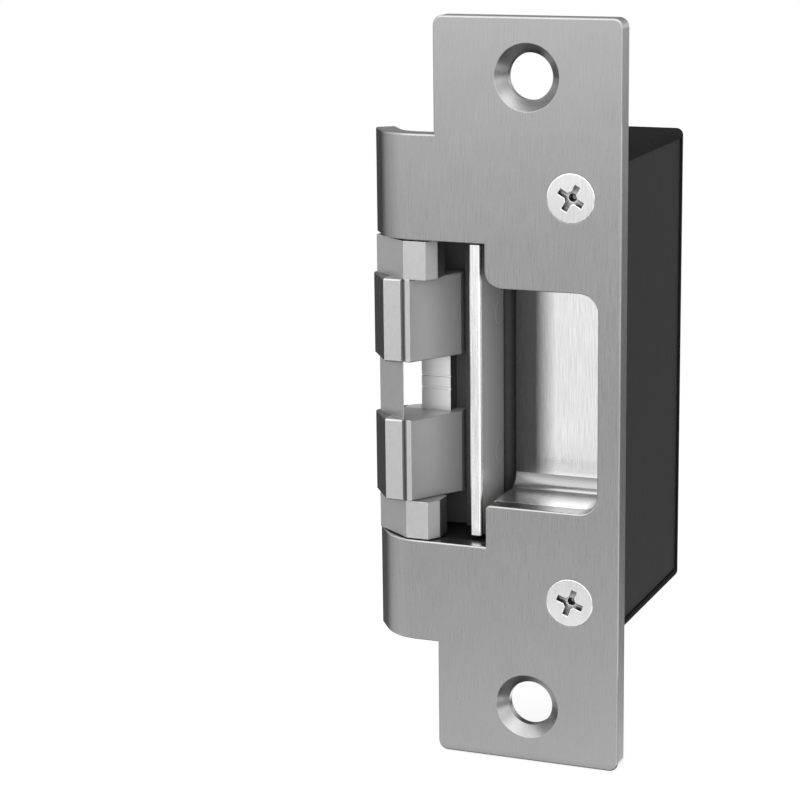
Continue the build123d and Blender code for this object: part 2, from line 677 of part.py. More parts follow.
def bearing_plate_rivets():
    """Four rivets, their sunk heads ground flush with the bearing plate."""
    depth = sink_depth(BEARING_HEAD_R, BEARING_RIVET_R)
    head = Pos(0, 0, -depth / 2) * Cone(BEARING_RIVET_R, BEARING_HEAD_R, depth)
    shank = Pos(0, 0, -BEARING_RIVET_LENGTH / 2) * Cylinder(BEARING_RIVET_R, BEARING_RIVET_LENGTH)
    one = Rot(0, 90, 0) * (head + shank)
    return [Pos(BEARING_RIGHT, BEARING_RIVET_Y, z) * one for z in BEARING_RIVET_ZS]


def keeper_hinge_pin():
    pin = rod_z(-PIN_HALF, PIN_HALF, PIVOT_X, PIVOT_Y, PIN_R)
    return chamfer(pin.edges().filter_by(GeomType.CIRCLE), PIN_CHAMFER)


def hinge_pin_clips():
    """A retaining ring beyond each hinge lug."""
    clips = []
    for side in (-1, 1):
        inner = CROSS_WALL_OUT + CLIP_GAP
        low, high = sorted((side * inner, side * (inner + CLIP_T)))
        ring = rod_z(low, high, PIVOT_X, PIVOT_Y, CLIP_R) - rod_z(low, high, PIVOT_X, PIVOT_Y, PIN_R)
        mouth = block(PIVOT_X - CLIP_MOUTH_HALF, PIVOT_X + CLIP_MOUTH_HALF, PIVOT_Y, PIVOT_Y + 2 * CLIP_R,
                      low, high)
        clips.append(ring - mouth)
    return clips


def keeper_bushes():
    """A flanged bush in each end of the keeper's hub."""
    bushes = []
    for side in (-1, 1):
        low, high = sorted((side * (HUB_HALF - BUSH_LENGTH), side * HUB_HALF))
        bush = rod_z(low, high, PIVOT_X, PIVOT_Y, BUSH_R)
        low, high = sorted((side * HUB_HALF, side * (HUB_HALF + BUSH_FLANGE_T)))
        bush += rod_z(low, high, PIVOT_X, PIVOT_Y, BUSH_FLANGE_R)
        bush -= rod_z(-PIN_HALF, PIN_HALF, PIVOT_X, PIVOT_Y, PIN_R + SLIDE_GAP)
        bushes.append(bush)
    return bushes


def coil_point(degrees):
    """A point on the return spring's coil, seen from above."""
    angle = radians(degrees)
    return PIVOT_X + TORSION_COIL_R * cos(angle), PIVOT_Y + TORSION_COIL_R * sin(angle)


def case_leg_z():
    return -TORSION_TURNS * TORSION_PITCH / 2


def case_leg_end():
    """The X and Z of the spring's fixed leg where it passes through its lug."""
    angle = radians(CASE_LEG_DEG)
    start_x, start_y = coil_point(CASE_LEG_DEG)
    run = (SPRING_LUG_FRONT - start_y) / -cos(angle)
    return start_x + run * sin(angle), case_leg_z()


def keeper_torsion_spring():
    """The keeper's return spring: a coil round the pin, a leg behind the web and a fixed leg."""
    turns = TORSION_TURNS + (KEEPER_LEG_DEG - CASE_LEG_DEG) / 360
    height = turns * TORSION_PITCH
    path = Pos(PIVOT_X, PIVOT_Y, case_leg_z()) * Rot(0, 0, CASE_LEG_DEG) * Helix(
        TORSION_PITCH, height, TORSION_COIL_R)
    profile = Plane(origin=path @ 0, z_dir=path % 0) * Circle(TORSION_WIRE_R)
    coil = sweep(profile, path=path)
    start = path @ 0
    knee_x, knee_z = case_leg_end()
    knee = Vector(knee_x, SPRING_LUG_FRONT - SPRING_KNEE, knee_z)
    fixed_leg = wire_between(start, knee)
    fixed_leg += wire_between(knee, Vector(knee_x, SPRING_LUG_BACK + SPRING_LEG_END, knee_z))
    end = path @ 1
    angle = radians(KEEPER_LEG_DEG)
    moving_leg = wire_between(end, end + Vector(-sin(angle), cos(angle), 0) * KEEPER_LEG_LENGTH)
    return coil + fixed_leg + moving_leg


def wire_between(start, end):
    """A straight round wire with a ball at each end."""
    run = end - start
    middle = Plane(origin=start, z_dir=run)
    rod = extrude(middle * Circle(TORSION_WIRE_R), run.length)
    balls = Pos(start) * Sphere(TORSION_WIRE_R) + Pos(end) * Sphere(TORSION_WIRE_R)
    return rod + balls


def keeper_stop_pad():
    """The rubber pad on the left wall that the keeper's tab closes against."""
    return block(-INNER_X, STOP_PAD_FACE, STOP_PAD_FRONT, STOP_PAD_BACK, TAB_LOW - STOP_PAD_OVER,
                 TAB_HIGH + STOP_PAD_OVER)


def solenoid_screw_xs():
    return SOLENOID_X - SOLENOID_SCREW_OFFSET, SOLENOID_X + SOLENOID_SCREW_OFFSET


def solenoid_frame():
    """The square steel frame round the coil."""
    left = SOLENOID_X - FRAME_HALF_WIDTH
    right = SOLENOID_X + FRAME_HALF_WIDTH
    front = SOLENOID_Y - FRAME_HALF_DEPTH
    back = SOLENOID_Y + FRAME_HALF_DEPTH
    frame = block(left, right, front, back, INNER_BOTTOM, FRAME_TOP)
    frame = fillet(frame.edges().filter_by(Axis.Y), FRAME_T)
    frame -= block(left + FRAME_T, right - FRAME_T, front - CUT_PAST, back + CUT_PAST,
                   INNER_BOTTOM + FRAME_T, FRAME_TOP - FRAME_T)
    frame -= rod_z(FRAME_TOP - FRAME_T - CUT_PAST, FRAME_TOP + CUT_PAST, SOLENOID_X, SOLENOID_Y,
                   BOBBIN_BORE_R)
    for x in solenoid_screw_xs():
        frame -= rod_z(INNER_BOTTOM - CUT_PAST, INNER_BOTTOM + FRAME_T + THREAD_RUNOUT, x, SOLENOID_Y,
                       SMALL_SCREW_R + PRESS_GAP)
    return frame


def bobbin_span():
    return INNER_BOTTOM + FRAME_T + PRESS_GAP, FRAME_TOP - FRAME_T - PRESS_GAP


def ring_z(z_low, z_high, outer_r, inner_r):
    """A ring about the solenoid's axis."""
    ring = rod_z(z_low, z_high, SOLENOID_X, SOLENOID_Y, outer_r)
    return ring - rod_z(z_low - CUT_PAST, z_high + CUT_PAST, SOLENOID_X, SOLENOID_Y, inner_r)


def solenoid_bobbin():
    low, high = bobbin_span()
    spool = ring_z(low, high, BOBBIN_TUBE_R, BOBBIN_BORE_R)
    spool += ring_z(low, low + BOBBIN_FLANGE_T, BOBBIN_R, BOBBIN_BORE_R)
    return spool + ring_z(high - BOBBIN_FLANGE_T, high, BOBBIN_R, BOBBIN_BORE_R)


def solenoid_coil():
    low, high = bobbin_span()
    return ring_z(low + BOBBIN_FLANGE_T, high - BOBBIN_FLANGE_T, COIL_R, BOBBIN_TUBE_R)


def coil_wrap():
    low, high = bobbin_span()
    return ring_z(low + BOBBIN_FLANGE_T, high - BOBBIN_FLANGE_T, WRAP_R, COIL_R)


def solenoid_core():
    """The fixed iron core under the plunger."""
    return rod_z(INNER_BOTTOM + FRAME_T, CORE_TOP, SOLENOID_X, SOLENOID_Y, CORE_R)


def solenoid_screws():
    one = Rot(180, 0, 0) * screw(SMALL_HEAD_R, SMALL_SCREW_R, 0, CASE_WALL + FRAME_T - SLIDE_GAP)
    return [Pos(x, SOLENOID_Y, CASE_BOTTOM) * one for x in solenoid_screw_xs()]


def solenoid_plunger():
    """The iron plunger, with a fork at its top for the lever."""
    plunger = rod_z(PLUNGER_BOTTOM, PLUNGER_TOP, SOLENOID_X, SOLENOID_Y, PLUNGER_R)
    plunger = chamfer(plunger.edges().filter_by(GeomType.CIRCLE), PLUNGER_CHAMFER)
    slot = CLEVIS_SLOT / 2
    reach = PLUNGER_R + CUT_PAST
    plunger -= block(SOLENOID_X - slot, SOLENOID_X + slot, SOLENOID_Y - reach, SOLENOID_Y + reach,
                     CLEVIS_FLOOR, PLUNGER_TOP + CUT_PAST)
    return plunger - rod_x(SOLENOID_X - reach, SOLENOID_X + reach, SOLENOID_Y, LEVER_Z, LINK_PIN_R)


def plunger_collar():
    """The ring on the plunger that its return spring pushes on."""
    return ring_z(COLLAR_TOP - COLLAR_T, COLLAR_TOP, COLLAR_R, PLUNGER_R)


def plunger_spring():
    """The return spring between the solenoid's frame and the collar."""
    low = FRAME_TOP + RETURN_WIRE_R + PRESS_GAP
    high = COLLAR_TOP - COLLAR_T - RETURN_WIRE_R - PRESS_GAP
    pitch = (high - low) / RETURN_TURNS
    path = Pos(SOLENOID_X, SOLENOID_Y, low) * Helix(pitch, high - low, RETURN_COIL_R)
    profile = Plane(origin=path @ 0, z_dir=path % 0) * Circle(RETURN_WIRE_R)
    return sweep(profile, path=path)


def plunger_link_pin():
    return rod_x(SOLENOID_X - LINK_PIN_HALF, SOLENOID_X + LINK_PIN_HALF, SOLENOID_Y, LEVER_Z, LINK_PIN_R)


def lock_lever():
    """The bell crank: a tube on its pin, a nose arm that goes up and an arm to the plunger."""
    lever = rod_x(LEVER_LEFT, LEVER_RIGHT, LEVER_Y, LEVER_Z, LEVER_HUB_R)
    nose = polygon((LEVER_FRONT, LEVER_NOSE_TOP), (LEVER_FRONT, LEVER_NOSE_LOW), (LEVER_Y - 2.7, 4.0),
                   (LEVER_Y - 2.7, LEVER_Z), (LEVER_Y + 2.6, LEVER_Z + 0.5),
                   (LEVER_FRONT + 3.6, LEVER_NOSE_TOP))
    lever += side_prism(nose, LEVER_LEFT, LEVER_NOSE_RIGHT)
    arm_left = SOLENOID_X - LEVER_ARM_HALF_T
    arm_right = SOLENOID_X + LEVER_ARM_HALF_T
    half_height = LEVER_ARM_HALF_HEIGHT
    lever += block(arm_left, arm_right, SOLENOID_Y, LEVER_Y, LEVER_Z - half_height, LEVER_Z + half_height)
    lever += rod_x(arm_left, arm_right, SOLENOID_Y, LEVER_Z, half_height)
    slot_width = 2 * (LINK_PIN_R + LINK_CLEARANCE)
    slot = Pos(SOLENOID_Y, LEVER_Z) * SlotOverall(slot_width + LINK_SLOT_EXTRA, slot_width)
    lever -= side_prism(slot, arm_left - CUT_PAST, arm_right + CUT_PAST)
    return lever - rod_x(LEVER_LEFT - CUT_PAST, LEVER_RIGHT + CUT_PAST, LEVER_Y, LEVER_Z,
                         LEVER_PIN_R + SLIDE_GAP)


def lock_lever_pin():
    return rod_x(-INNER_X + SLIDE_GAP, INNER_X - SLIDE_GAP, LEVER_Y, LEVER_Z, LEVER_PIN_R)


def circuit_board():
    board = block(-BOARD_HALF_WIDTH, BOARD_HALF_WIDTH, BOARD_FRONT, BOARD_FRONT + BOARD_T,
                  BOARD_LOW, BOARD_HIGH)
    for x, z in BOARD_POSTS:
        board -= rod_y(BOARD_FRONT - CUT_PAST, BOARD_FRONT + BOARD_T + CUT_PAST, x, z,
                       SMALL_SCREW_R + 2 * SLIDE_GAP)
    return board


def circuit_board_screws():
    length = SMALL_HEAD_T + BOARD_T + BOARD_SCREW_GRIP
    one = Rot(90, 0, 0) * screw(SMALL_HEAD_R, SMALL_SCREW_R, SMALL_HEAD_T, length, sunk=False)
    one = Pos(0, -SMALL_HEAD_T, 0) * one
    return [Pos(x, BOARD_FRONT, z) * one for x, z in BOARD_POSTS]


def connector_header():
    """The socket in the rear wall that the building's wiring plugs into."""
    back = BOARD_FRONT + BOARD_T
    shell = block(-HEADER_HALF_WIDTH, HEADER_HALF_WIDTH, back, CASE_BACK, HEADER_LOW, HEADER_HIGH)
    shell -= block(-HEADER_HALF_WIDTH + HEADER_WALL, HEADER_HALF_WIDTH - HEADER_WALL, back + HEADER_WALL,
                   CASE_BACK + CUT_PAST, HEADER_LOW + HEADER_WALL, HEADER_HIGH - HEADER_WALL)
    shell -= block(-KEYWAY_HALF_WIDTH, KEYWAY_HALF_WIDTH, back + HEADER_FLOOR_T, CASE_BACK + CUT_PAST,
                   HEADER_HIGH - 2 * HEADER_WALL, HEADER_HIGH + CUT_PAST)
    for x in contact_xs():
        shell -= rod_y(back - CUT_PAST, back + HEADER_FLOOR_T, x, contact_z(), CONTACT_R)
    return shell


def contact_xs():
    middle = (CONTACT_COUNT - 1) / 2
    return [CONTACT_PITCH * (number - middle) for number in range(CONTACT_COUNT)]


def contact_z():
    return (HEADER_LOW + HEADER_HIGH) / 2


def connector_pins():
    back = BOARD_FRONT + BOARD_T
    return [rod_y(back, CASE_BACK - CONTACT_SHORT, x, contact_z(), CONTACT_R) for x in contact_xs()]


def control_relay():
    """The sealed relay on the front of the board."""
    relay = block(RELAY_LEFT, RELAY_RIGHT, BOARD_FRONT - RELAY_HEIGHT, BOARD_FRONT, RELAY_LOW, RELAY_HIGH)
    return fillet(relay.edges().group_by(Axis.Y)[0], RELAY_EDGE_R)


def smoothing_capacitor():
    can = rod_y(BOARD_FRONT - CAPACITOR_HEIGHT, BOARD_FRONT, CAPACITOR_X, CAPACITOR_Z, CAPACITOR_R)
    return fillet(can.edges().group_by(Axis.Y)[0], CAPACITOR_EDGE_R)


def coil_leads():
    """The two insulated wires from the bobbin's upper flange to the front of the board."""
    return [coil_lead(*ends) for ends in LEAD_XS]


def coil_lead(start_x, end_x):
    path = FilletPolyline(
        (start_x, LEAD_Y, bobbin_span()[1]),
        (start_x, LEAD_Y, LEAD_LOW_BEND),
        (end_x, LEAD_Y, LEAD_HIGH_BEND),
        (end_x, LEAD_Y, LEAD_END_Z),
        (end_x, BOARD_FRONT, LEAD_END_Z),
        radius=LEAD_BEND_RS,
    )
    profile = Plane(origin=path @ 0, z_dir=path % 0) * Circle(LEAD_R)
    return sweep(profile, path=path)


def write(name, shape):
    """Writes one sub-part, which may be a list of separate solids."""
    if isinstance(shape, list):
        shape = Compound(children=shape)
    export_step(shape, f"parts/{name}.step")


SUB_PARTS = {
    "faceplate": faceplate,
    "faceplate_screws": body_screws,
    "case_body": case_body,
    "side_cover": side_cover,
    "cover_screws": cover_screws,
    "latch_pocket_cup": latch_pocket_cup,
    "keeper_carrier": keeper_carrier,
    "keeper_face": keeper_face,
    "keeper_face_screws": keeper_face_screws,
    "latch_bearing_plate": latch_bearing_plate,
    "bearing_plate_rivets": bearing_plate_rivets,
    "keeper_hinge_pin": keeper_hinge_pin,
    "hinge_pin_clips": hinge_pin_clips,
    "keeper_bushes": keeper_bushes,
    "keeper_torsion_spring": keeper_torsion_spring,
    "keeper_stop_pad": keeper_stop_pad,
    "solenoid_frame": solenoid_frame,
    "solenoid_bobbin": solenoid_bobbin,
    "solenoid_coil": solenoid_coil,
    "coil_wrap": coil_wrap,
    "solenoid_core": solenoid_core,
    "solenoid_screws": solenoid_screws,
    "solenoid_plunger": solenoid_plunger,
    "plunger_collar": plunger_collar,
    "plunger_spring": plunger_spring,
    "plunger_link_pin": plunger_link_pin,
    "lock_lever": lock_lever,
    "lock_lever_pin": lock_lever_pin,
    "circuit_board": circuit_board,
    "circuit_board_screws": circuit_board_screws,
    "connector_header": connector_header,
    "connector_pins": connector_pins,
    "control_relay": control_relay,
    "smoothing_capacitor": smoothing_capacitor,
    "coil_leads": coil_leads,
}

os.makedirs("parts", exist_ok=True)
for name, make in SUB_PARTS.items():
    write(name, make())
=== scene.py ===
"""Looks of the electric door strike: materials, springs, camera, light and floor round its CAD frame."""

import json
import math

import bpy
from mathutils import Matrix, Vector


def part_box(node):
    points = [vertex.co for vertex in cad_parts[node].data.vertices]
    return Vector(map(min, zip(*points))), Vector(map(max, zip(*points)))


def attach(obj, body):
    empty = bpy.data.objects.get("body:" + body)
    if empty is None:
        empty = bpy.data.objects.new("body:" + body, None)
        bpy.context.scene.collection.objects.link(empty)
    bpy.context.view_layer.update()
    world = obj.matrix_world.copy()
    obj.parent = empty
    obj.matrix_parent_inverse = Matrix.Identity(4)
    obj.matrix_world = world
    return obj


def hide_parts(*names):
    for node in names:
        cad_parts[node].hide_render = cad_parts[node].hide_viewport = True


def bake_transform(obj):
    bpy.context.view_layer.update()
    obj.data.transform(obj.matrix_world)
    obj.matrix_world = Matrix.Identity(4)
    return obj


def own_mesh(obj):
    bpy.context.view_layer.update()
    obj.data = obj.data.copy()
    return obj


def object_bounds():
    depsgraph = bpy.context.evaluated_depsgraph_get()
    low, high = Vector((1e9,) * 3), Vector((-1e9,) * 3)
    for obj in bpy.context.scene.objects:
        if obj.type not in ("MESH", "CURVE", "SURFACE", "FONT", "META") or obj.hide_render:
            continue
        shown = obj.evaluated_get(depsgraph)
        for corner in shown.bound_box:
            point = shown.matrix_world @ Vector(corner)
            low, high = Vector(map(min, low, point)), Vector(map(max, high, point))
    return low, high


MM = 0.001

# Camera: the view from the front right, a little above, in degrees and metres
CAMERA_AZIMUTH = 22.34
CAMERA_ELEVATION = 13.115
CAMERA_ROLL = -0.725
CAMERA_DISTANCE = 0.41688
CAMERA_TARGET = Vector((-22.227, 0.0, -1.486)) * MM
CAMERA_LENS = 113.18
SENSOR = 36.0
CAMERA_NEAR = 0.01
CAMERA_FAR = 20.0

# Floor: how far it reaches, its gap below the part, and the ring round the part in which it turns white
FLOOR_HALF = 6.0
FLOOR_GAP = 0.2 * MM
FLOOR_RING = (80.0 * MM, 300.0 * MM)

# Key light: its place, its sides in metres and its power in watts
KEY_PLACE = (-0.20, -0.45, 0.35)
KEY_SIDES = (0.5, 0.5)
KEY_POWER = 1.2

# Places on the part, as heights from its middle
KNUCKLE_IN = 4.9 * MM
KNUCKLE_OUT = 18.8 * MM
POCKET_HALF = 18.2 * MM
COUNTERSINK_START = 45.0 * MM

# Places on the keeper's face for its painted light and shade, from its left side or its foremost edge
FLANK_WIDTH = 4.0 * MM
RAMP_START = 8.6 * MM
RAMP_DEPTH = 9.0 * MM
STEP_START = 11.4 * MM
STEP_DEPTH = 2.6 * MM
POST_DEPTH = 8.8 * MM

# Where the painted shadow and shade start and end in the pocket: left of its middle, in front of its back,
# above its lower wall
DARK_EDGE = (6.4 * MM, 2.8 * MM)
FLOOR_DEPTH = (3.0 * MM, 1.0 * MM)
CORNER_RISE = (5.6 * MM, 3.2 * MM)

# The depth over which the bearing plate's bright front turns into its less metallic sides with painted
# shade
SIDE_SHADE_EDGE = (0.45 * MM, 0.75 * MM)

# Where the painted light on the lip's lower end starts: from its left edge, and down from the middle
LIP_PAINTED_LIGHT_EDGE = (7.0 * MM, 2.5 * MM)
LIP_PAINTED_LIGHT_DROP = 10.0 * MM

# The change from a tone to its neighbour on a hard edge, and on a soft one
HARD = 0.1 * MM
SOFT = 0.2 * MM

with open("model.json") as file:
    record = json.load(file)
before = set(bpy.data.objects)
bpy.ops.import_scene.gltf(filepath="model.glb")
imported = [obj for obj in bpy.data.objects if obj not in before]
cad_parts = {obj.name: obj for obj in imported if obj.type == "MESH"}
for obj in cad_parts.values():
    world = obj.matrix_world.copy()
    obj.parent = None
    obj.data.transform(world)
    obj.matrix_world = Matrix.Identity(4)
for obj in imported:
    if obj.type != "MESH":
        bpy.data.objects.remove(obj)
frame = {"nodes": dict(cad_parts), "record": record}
cad_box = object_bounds()
nodes = frame["nodes"]


# ---------------------------------------------------------------- node helpers

class Shader:
    """A material's node tree, with short calls for the nodes used here."""

    def __init__(self, name):
        self.material = bpy.data.materials.new(name)
        self.material.use_nodes = True
        self.tree = self.material.node_tree
        self.bsdf = self.tree.nodes["Principled BSDF"]
        self.coords = self.tree.nodes.new("ShaderNodeTexCoord").outputs["Object"]

    def node(self, kind, **settings):
        made = self.tree.nodes.new(kind)
        for key, value in settings.items():
            setattr(made, key, value)
        return made

    def link(self, source, target):
        self.tree.links.new(source, target)

    def set(self, socket, value):
        self.bsdf.inputs[socket].default_value = value

    def stretched(self, scale):
        """Object coordinates multiplied by a scale along each axis."""
        mapping = self.node("ShaderNodeMapping")
        mapping.inputs["Scale"].default_value = scale
        self.link(self.coords, mapping.inputs["Vector"])
        return mapping.outputs["Vector"]

    def noise(self, scale, stretch=(1, 1, 1), detail=4.0, roughness=0.55):
        made = self.node("ShaderNodeTexNoise")
        made.inputs["Scale"].default_value = scale
        made.inputs["Detail"].default_value = detail
        made.inputs["Roughness"].default_value = roughness
        self.link(self.stretched(stretch), made.inputs["Vector"])
        return made.outputs["Fac"]

    def ramp(self, factor, low, high, low_value=0.0, high_value=1.0):
        made = self.node("ShaderNodeMapRange")
        made.inputs["From Min"].default_value = low
        made.inputs["From Max"].default_value = high
        made.inputs["To Min"].default_value = low_value
        made.inputs["To Max"].default_value = high_value
        self.link(factor, made.inputs["Value"])
        return made.outputs["Result"]

    def mix(self, factor, first, second, blend="MIX"):
        """Mixes two colours; each one is a colour or an output."""
        made = self.node("ShaderNodeMix", data_type="RGBA", blend_type=blend)
        for index, value in ((0, factor), (6, first), (7, second)):
            if isinstance(value, bpy.types.NodeSocket):
                self.link(value, made.inputs[index])
            elif index == 0:
                made.inputs[index].default_value = value
            else:
                made.inputs[index].default_value = (*value, 1.0)
        return made.outputs[2]

    def math(self, operation, first, second):
        made = self.node("ShaderNodeMath", operation=operation)
        for index, value in ((0, first), (1, second)):
            if isinstance(value, bpy.types.NodeSocket):
                self.link(value, made.inputs[index])
            else:
                made.inputs[index].default_value = value
        return made.outputs[0]

    def both(self, first, *others):
        """1 where every mask is 1."""
        for other in others:
            first = self.math("MULTIPLY", first, other)
        return first

    def bump(self, height, strength, distance, edge_radius=0.0):
        """A fine relief, on edges that are softened over a small radius."""
        made = self.node("ShaderNodeBump")
        made.inputs["Strength"].default_value = strength
        made.inputs["Distance"].default_value = distance
        self.link(height, made.inputs["Height"])
        if edge_radius > 0:
            self.link(self.soft_edge(edge_radius), made.inputs["Normal"])
        self.link(made.outputs["Normal"], self.bsdf.inputs["Normal"])

    def soft_edge(self, radius):
        """The surface normal, rounded near edges."""
        made = self.node("ShaderNodeBevel", samples=4)
        made.inputs["Radius"].default_value = radius
        return made.outputs["Normal"]

    def edge_wear(self, radius):
        """1 on edges and 0 on open faces."""
        dot = self.node("ShaderNodeVectorMath", operation="DOT_PRODUCT")
        self.link(self.soft_edge(radius), dot.inputs[0])
        self.link(self.node("ShaderNodeNewGeometry").outputs["Normal"], dot.inputs[1])
        return self.ramp(dot.outputs["Value"], 0.98, 0.85)

    def place(self, axis):
        """The object coordinate along X, Y or Z, in metres."""
        split = self.node("ShaderNodeSeparateXYZ")
        self.link(self.coords, split.inputs[0])
        return split.outputs[axis]

    def from_middle(self):
        """The distance above or below the part's middle, in metres."""
        return self.math("ABSOLUTE", self.place("Z"), 0.0)

    def facing(self, axis):
        """The surface normal's part along X, Y or Z."""
        turned = self.node("ShaderNodeVectorTransform", vector_type="NORMAL", convert_from="WORLD",
                           convert_to="OBJECT")
        self.link(self.node("ShaderNodeNewGeometry").outputs["Normal"], turned.inputs[0])
        split = self.node("ShaderNodeSeparateXYZ")
        self.link(turned.outputs[0], split.inputs[0])
        return split.outputs[axis]

    def cavity(self, distance):
        """1 on open surfaces and towards 0 in corners, within a distance."""
        made = self.node("ShaderNodeAmbientOcclusion", samples=8)
        made.inputs["Distance"].default_value = distance
        return made.outputs["AO"]


def grey(value):
    return (value, value, value)


# ---------------------------------------------------------------- materials

def brushed(name, tone, roughness, grain=(1, 1, 0.02), grain_scale=9000.0, contrast=0.06, tint=(1, 1, 1),
            edge=0.15 * MM, wear=0.25, relief=0.12, shade_mask=None):
    """Metal with a fine grain along one axis, cloudy variation, bright worn edges and painted shade in its
    corners.
    """
    s = Shader(name)
    base = tuple(tone * part for part in tint)
    streaks = s.noise(grain_scale, grain, detail=5.0, roughness=0.7)
    clouds = s.noise(90.0, detail=3.0)
    low = tuple(part * (1 - contrast) for part in base)
    high = tuple(min(1.0, part * (1 + contrast)) for part in base)
    colour = s.mix(s.ramp(streaks, 0.3, 0.7), low, high)
    colour = s.mix(s.ramp(clouds, 0.35, 0.7, 0.0, 0.35), colour, tuple(part * 0.9 for part in base))
    if shade_mask:
        colour = shade_mask(s, colour)
    worn = tuple(min(1.0, part * 1.35) for part in base)
    colour = s.mix(s.math("MULTIPLY", s.edge_wear(edge), wear), colour, worn)
    # Painted shade: the colour is darkened in corners and recesses.
    shade = s.ramp(s.cavity(1.6 * MM), 0.25, 0.95, 0.62, 1.0)
    s.link(s.mix(1.0, colour, s.mix(shade, grey(0.0), grey(1.0)), "MULTIPLY"), s.bsdf.inputs["Base Color"])
    s.set("Metallic", 1.0)
    s.link(s.ramp(streaks, 0.25, 0.75, roughness - 0.05, roughness + 0.07), s.bsdf.inputs["Roughness"])
    s.bump(streaks, relief, 0.02 * MM, edge)
    return s.material


def painted(name, tone, roughness, specular=0.35):
    """Satin paint with a fine orange peel, dust specks and edges rubbed a little lighter."""
    s = Shader(name)
    peel = s.noise(2600.0, detail=2.0)
    speck = s.noise(700.0, detail=4.0)
    colour = s.mix(s.ramp(speck, 0.4, 0.75), grey(tone), grey(tone * 1.5))
    colour = s.mix(s.math("MULTIPLY", s.edge_wear(0.3 * MM), 0.5), colour, grey(tone * 4))
    s.link(colour, s.bsdf.inputs["Base Color"])
    s.set("Specular IOR Level", specular)
    s.link(s.ramp(speck, 0.3, 0.7, roughness - 0.05, roughness + 0.05), s.bsdf.inputs["Roughness"])
    s.bump(peel, 0.15, 0.02 * MM, 0.3 * MM)
    return s.material


def painted_recess_shade(s, colour):
    """A screw's head, with painted shade in the depth of its cross recess."""
    # Painted shade: grey in the depth of the cross recess.
    depth = s.ramp(s.cavity(1.4 * MM), 0.35, 0.9)
    return s.mix(depth, grey(0.26), colour)


def faceplate_painted_light_and_shade(s, colour):
    """Painted light on the lip's lower end, and painted shade in the countersinks at their upper left."""
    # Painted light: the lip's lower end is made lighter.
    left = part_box("faceplate")[0].x
    bend = s.both(s.ramp(s.place("X"), *[left + width for width in LIP_PAINTED_LIGHT_EDGE]),
                  s.ramp(s.place("Z"), 0.0, -LIP_PAINTED_LIGHT_DROP))
    colour = s.mix(bend, colour, grey(0.44))
    # Painted shade: the countersinks' upper left walls are made darker.
    front = s.facing("Y")
    cone = s.both(s.ramp(front, -0.95, -0.85), s.ramp(front, -0.45, -0.55))
    ends = s.ramp(s.from_middle(), COUNTERSINK_START, COUNTERSINK_START + 1.0 * MM)
    upper = s.both(s.ramp(s.facing("Z"), 0.45, -0.20), s.ramp(s.facing("X"), -0.60, -0.10))
    return s.mix(s.both(cone, ends, upper), colour, grey(0.17))


def keeper_painted_light_and_shade(s, colour):
    """Painted light on the post, and painted shade on the ramps, steps and knuckles' left flanks; the post,
    ramps and steps are also made less metallic.
    """
    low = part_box("keeper_face")[0]
    height = s.from_middle()
    depth = s.place("Y")
    across = s.place("X")
    between = s.ramp(height, KNUCKLE_IN + HARD / 2, KNUCKLE_IN - HARD / 2)
    knuckle = s.both(s.ramp(height, KNUCKLE_IN - HARD / 2, KNUCKLE_IN),
                     s.ramp(height, KNUCKLE_OUT + HARD, KNUCKLE_OUT))
    end = s.ramp(height, KNUCKLE_OUT, KNUCKLE_OUT + HARD)
    post = s.both(s.ramp(depth, low.y + POST_DEPTH, low.y + POST_DEPTH + 2.5 * SOFT), between,
                  s.ramp(s.facing("X"), 0.6, 0.4))
    flank = s.both(knuckle, s.ramp(across, low.x + FLANK_WIDTH + HARD, low.x + FLANK_WIDTH - HARD))
    ramp = s.both(s.ramp(depth, low.y, low.y + RAMP_DEPTH),
                  s.ramp(across, low.x + RAMP_START, low.x + RAMP_START + 2 * SOFT), knuckle)
    step = s.both(s.ramp(depth, low.y + STEP_DEPTH + HARD, low.y + STEP_DEPTH - HARD),
                  s.ramp(across, low.x + STEP_START, low.x + STEP_START + SOFT), end)
    # Painted light on the post, and painted shade on the flanks, ramps and steps.
    for mask, tone in ((post, 0.95), (flank, 0.16), (ramp, 0.25), (step, 0.27)):
        colour = s.mix(mask, colour, grey(tone))
    dull = s.math("MAXIMUM", s.math("MAXIMUM", ramp, step), s.math("MULTIPLY", post, 0.7))
    s.link(s.ramp(dull, 0.0, 1.0, 1.0, 0.3), s.bsdf.inputs["Metallic"])
    return colour


def pocket_painted_light_and_shade(s, colour):
    """Painted shadow on the floor towards the keeper, painted shade in the lower corner and on the lower
    wall's fillet, and painted light on the lower wall.
    """
    low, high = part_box("latch_pocket_cup")
    middle = (low.x + high.x) / 2
    # Painted shadow: the floor is darker towards the keeper.
    light = s.ramp(s.place("X"), *[middle - edge for edge in DARK_EDGE])
    floor = s.ramp(s.place("Y"), *[high.y - depth for depth in FLOOR_DEPTH])
    dark = s.both(floor, s.math("SUBTRACT", 1.0, light))
    # Painted shade: darker towards the pocket's lower end.
    corner = s.ramp(s.place("Z"), *[rise - POCKET_HALF for rise in CORNER_RISE])
    colour = s.mix(corner, colour, grey(0.42))
    # Painted light on the upward-facing lower wall, and painted shade on its fillet.
    upward = s.facing("Z")
    lower_wall = s.mix(s.ramp(upward, 0.6, 0.97), grey(0.19), grey(0.95))
    return s.mix(s.ramp(upward, 0.005, 0.05), s.mix(dark, colour, grey(0.08)), lower_wall)


def bearing_painted_side_shade(s, colour):
    """The latch bearing plate stays bright at its front edge; its sides are less metallic and painted
    darker, as painted shade.
    """
    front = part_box("latch_bearing_plate")[0].y
    side = s.ramp(s.place("Y"), *[front + depth for depth in SIDE_SHADE_EDGE])
    s.link(s.ramp(side, 0.0, 1.0, 1.0, 0.2), s.bsdf.inputs["Metallic"])
    # Painted shade: the sides are made darker.
    return s.mix(side, colour, grey(0.30))


